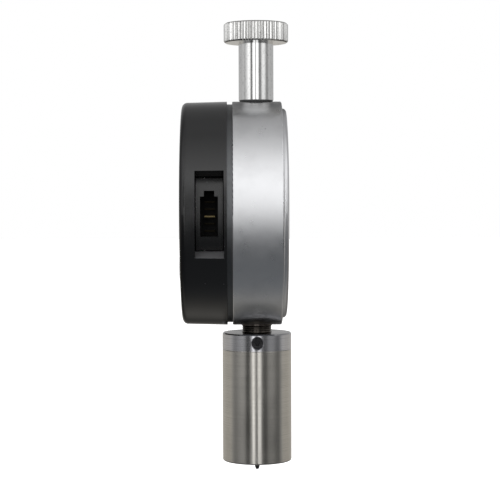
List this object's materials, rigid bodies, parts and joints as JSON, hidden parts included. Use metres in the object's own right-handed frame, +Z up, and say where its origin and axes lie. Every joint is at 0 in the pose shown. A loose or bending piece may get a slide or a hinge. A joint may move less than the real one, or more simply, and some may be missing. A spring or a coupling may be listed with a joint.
{
  "type": "handheld durometer",
  "caption": "Handheld hardness tester: round case with digital display, cylindrical presser foot, spring-loaded indenter, top handle with knurled knob.",
  "frame": {"origin": "centre of the presser foot's flat measuring face", "axes": "+Z up along the indenter's axis, the display faces -Y, the data socket faces +X"},
  "size_m": [0.058, 0.0286, 0.1162],
  "materials": {
    "case_metal": "satin",
    "ring_black": "moulded, fine",
    "cover_plastic": "moulded, semi-gloss",
    "frame_plastic": "moulded",
    "face_film": "satin film",
    "window_clear": "clear, polished",
    "display_glass": "grey-green liquid crystal",
    "strip_rubber": "moulded",
    "seal_rubber": "moulded, matt",
    "board_green": "solder mask",
    "chip_black": "moulded",
    "contact_gold": "gold plated",
    "bush_brass": "machined",
    "screw_steel": "bright zinc",
    "screw_black": "black oxide",
    "ground_steel": "ground",
    "spring_steel": "drawn wire",
    "turned_steel": "fine turned",
    "foot_steel": "brushed",
    "polished_steel": "polished",
    "knurled_steel": "knurled, bright",
    "tip_steel": "hardened",
    "carrier_metal": "machined",
    "scale_glass": "patterned, plated",
    "button_rubber": "matt",
    "cell_metal": "nickel plated"
  },
  "bodies": {
    "housing": {"case_body": "case_metal", "back_cover": "case_metal", "back_cover_screws": "screw_steel", "joint_ring": "ring_black", "front_cover": "cover_plastic", "cover_screws": "screw_steel", "face_plate": "face_film", "display_window": "window_clear", "display_panel": "display_glass", "display_frame": "frame_plastic", "display_strips": "strip_rubber", "display_board": "board_green", "display_board_screws": "screw_steel", "display_chips": "chip_black", "switch_domes": "screw_steel", "sensor_board": "board_green", "sensor_board_screws": "screw_steel", "sensor_chip": "chip_black", "board_link_pins": "contact_gold", "data_socket": "cover_plastic", "socket_contacts": "contact_gold", "battery_bay": "frame_plastic", "battery_contacts": "contact_gold", "lower_stem": "turned_steel", "lower_bush": "bush_brass", "upper_bush": "bush_brass", "guide_pin": "ground_steel", "return_spring": "spring_steel", "handle_sleeve": "polished_steel", "handle_seal": "seal_rubber", "knob_washer": "seal_rubber", "handle_knob": "knurled_steel", "clamp_collar": "turned_steel", "collar_screws": "screw_black", "presser_foot": "foot_steel", "lower_guide": "bush_brass", "stop_washer": "ground_steel", "main_spring": "spring_steel", "spring_adjuster": "bush_brass"},
    "indenter": {"indenter": "tip_steel", "indenter_plunger": "ground_steel", "indenter_lock_screw": "screw_black", "spindle_tip": "tip_steel", "spindle": "ground_steel", "scale_carrier": "carrier_metal", "carrier_screw": "screw_steel", "scale_plate": "scale_glass"},
    "power_button": {"power_button": "button_rubber"},
    "zero_button": {"zero_button": "button_rubber"},
    "hold_button": {"hold_button": "button_rubber"},
    "battery_tray": {"battery_tray": "cover_plastic", "battery_cell": "cell_metal"}
  },
  "joints": [
    {"name": "indenter_travel", "type": "slide", "parent": "housing", "child": "indenter", "axis": [0, 0, 1], "range_m": [0, 0.0025], "stiffness_N_per_m": 3000, "springref_m": -0.00018, "deforming": ["main_spring", "return_spring"]},
    {"name": "power_press", "type": "slide", "parent": "housing", "child": "power_button", "axis": [0, 1, 0], "range_m": [0, 0.0004], "stiffness_N_per_m": 2500, "springref_m": -0.0002},
    {"name": "zero_press", "type": "slide", "parent": "housing", "child": "zero_button", "axis": [0, 1, 0], "range_m": [0, 0.0004], "stiffness_N_per_m": 2500, "springref_m": -0.0002},
    {"name": "hold_press", "type": "slide", "parent": "housing", "child": "hold_button", "axis": [0, 1, 0], "range_m": [0, 0.0004], "stiffness_N_per_m": 2500, "springref_m": -0.0002},
    {"name": "tray_slide", "type": "slide", "parent": "housing", "child": "battery_tray", "axis": [-1, 0, 0], "range_m": [0, 0.024]}
  ]
}
